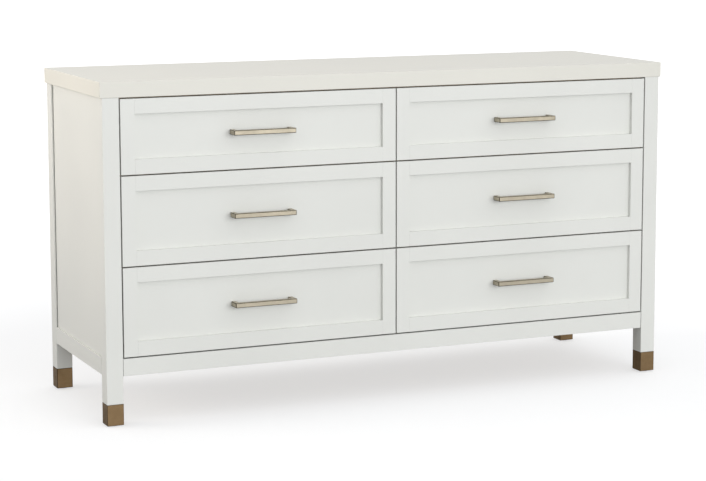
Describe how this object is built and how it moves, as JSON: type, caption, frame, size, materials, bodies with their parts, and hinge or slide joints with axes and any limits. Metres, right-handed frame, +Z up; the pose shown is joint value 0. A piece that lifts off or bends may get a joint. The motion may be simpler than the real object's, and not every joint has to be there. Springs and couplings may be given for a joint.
{
  "type": "chest of drawers",
  "caption": "Wide painted dresser with framed inset drawers, square brass bar pulls and brass-capped square legs; drawers run on ball-bearing slides.",
  "frame": {"origin": "on the floor, in the middle of the overall box including the handles", "axes": "+X to the right along the width seen from the front, +Y to the back, +Z up"},
  "size_m": [1.524, 0.506, 0.826],
  "materials": {
    "painted_wood": "satin off-white paint",
    "painted_top": "satin off-white paint, slightly warmer",
    "birch": "clear lacquered birch",
    "hardboard": "bare hardboard",
    "brass_handle": "brushed champagne brass",
    "cap_bronze": "brushed antique brass",
    "zinc_steel": "zinc plated",
    "nylon": "moulded"
  },
  "bodies": {
    "carcass": {"top_slab": "painted_top", "leg_front_left": "painted_wood", "leg_front_right": "painted_wood", "leg_back_left": "painted_wood", "leg_back_right": "painted_wood", "foot_cap_front_left": "cap_bronze", "foot_cap_front_right": "cap_bronze", "foot_cap_back_left": "cap_bronze", "foot_cap_back_right": "cap_bronze", "foot_glides": "nylon", "side_panel_left": "painted_wood", "side_panel_right": "painted_wood", "side_rail_left": "painted_wood", "side_rail_right": "painted_wood", "front_apron": "painted_wood", "back_bottom_rail": "painted_wood", "back_top_rail": "painted_wood", "centre_divider": "birch", "bottom_panel": "birch", "back_panel": "hardboard", "front_stretchers": "birch", "side_cleats": "birch", "slide_cabinet_members": "zinc_steel", "back_panel_screws": "zinc_steel"},
    "drawer_bottom_left": {"drawer_bottom_left_frame": "painted_wood", "drawer_bottom_left_panel": "painted_wood", "drawer_bottom_left_box": "birch", "drawer_bottom_left_handle": "brass_handle", "drawer_bottom_left_slide_inner": "zinc_steel"},
    "slides_bottom_left": {"drawer_bottom_left_slide_mid": "zinc_steel"},
    "drawer_bottom_right": {"drawer_bottom_right_frame": "painted_wood", "drawer_bottom_right_panel": "painted_wood", "drawer_bottom_right_box": "birch", "drawer_bottom_right_handle": "brass_handle", "drawer_bottom_right_slide_inner": "zinc_steel"},
    "slides_bottom_right": {"drawer_bottom_right_slide_mid": "zinc_steel"},
    "drawer_middle_left": {"drawer_middle_left_frame": "painted_wood", "drawer_middle_left_panel": "painted_wood", "drawer_middle_left_box": "birch", "drawer_middle_left_handle": "brass_handle", "drawer_middle_left_slide_inner": "zinc_steel"},
    "slides_middle_left": {"drawer_middle_left_slide_mid": "zinc_steel"},
    "drawer_middle_right": {"drawer_middle_right_frame": "painted_wood", "drawer_middle_right_panel": "painted_wood", "drawer_middle_right_box": "birch", "drawer_middle_right_handle": "brass_handle", "drawer_middle_right_slide_inner": "zinc_steel"},
    "slides_middle_right": {"drawer_middle_right_slide_mid": "zinc_steel"},
    "drawer_top_left": {"drawer_top_left_frame": "painted_wood", "drawer_top_left_panel": "painted_wood", "drawer_top_left_box": "birch", "drawer_top_left_handle": "brass_handle", "drawer_top_left_slide_inner": "zinc_steel"},
    "slides_top_left": {"drawer_top_left_slide_mid": "zinc_steel"},
    "drawer_top_right": {"drawer_top_right_frame": "painted_wood", "drawer_top_right_panel": "painted_wood", "drawer_top_right_box": "birch", "drawer_top_right_handle": "brass_handle", "drawer_top_right_slide_inner": "zinc_steel"},
    "slides_top_right": {"drawer_top_right_slide_mid": "zinc_steel"}
  },
  "joints": [
    {"name": "drawer_bottom_left_slide", "type": "slide", "parent": "carcass", "child": "drawer_bottom_left", "axis": [0, -1, 0], "range_m": [0, 0.4]},
    {"name": "slides_bottom_left_slide", "type": "slide", "parent": "carcass", "child": "slides_bottom_left", "axis": [0, -1, 0], "range_m": [0, 0.2]},
    {"name": "drawer_bottom_right_slide", "type": "slide", "parent": "carcass", "child": "drawer_bottom_right", "axis": [0, -1, 0], "range_m": [0, 0.4]},
    {"name": "slides_bottom_right_slide", "type": "slide", "parent": "carcass", "child": "slides_bottom_right", "axis": [0, -1, 0], "range_m": [0, 0.2]},
    {"name": "drawer_middle_left_slide", "type": "slide", "parent": "carcass", "child": "drawer_middle_left", "axis": [0, -1, 0], "range_m": [0, 0.4]},
    {"name": "slides_middle_left_slide", "type": "slide", "parent": "carcass", "child": "slides_middle_left", "axis": [0, -1, 0], "range_m": [0, 0.2]},
    {"name": "drawer_middle_right_slide", "type": "slide", "parent": "carcass", "child": "drawer_middle_right", "axis": [0, -1, 0], "range_m": [0, 0.4]},
    {"name": "slides_middle_right_slide", "type": "slide", "parent": "carcass", "child": "slides_middle_right", "axis": [0, -1, 0], "range_m": [0, 0.2]},
    {"name": "drawer_top_left_slide", "type": "slide", "parent": "carcass", "child": "drawer_top_left", "axis": [0, -1, 0], "range_m": [0, 0.4]},
    {"name": "slides_top_left_slide", "type": "slide", "parent": "carcass", "child": "slides_top_left", "axis": [0, -1, 0], "range_m": [0, 0.2]},
    {"name": "drawer_top_right_slide", "type": "slide", "parent": "carcass", "child": "drawer_top_right", "axis": [0, -1, 0], "range_m": [0, 0.4]},
    {"name": "slides_top_right_slide", "type": "slide", "parent": "carcass", "child": "slides_top_right", "axis": [0, -1, 0], "range_m": [0, 0.2]}
  ],
  "couplings": [
    {"joint": "slides_bottom_left_slide", "follows": "drawer_bottom_left_slide", "ratio": 0.5},
    {"joint": "slides_bottom_right_slide", "follows": "drawer_bottom_right_slide", "ratio": 0.5},
    {"joint": "slides_middle_left_slide", "follows": "drawer_middle_left_slide", "ratio": 0.5},
    {"joint": "slides_middle_right_slide", "follows": "drawer_middle_right_slide", "ratio": 0.5},
    {"joint": "slides_top_left_slide", "follows": "drawer_top_left_slide", "ratio": 0.5},
    {"joint": "slides_top_right_slide", "follows": "drawer_top_right_slide", "ratio": 0.5}
  ]
}
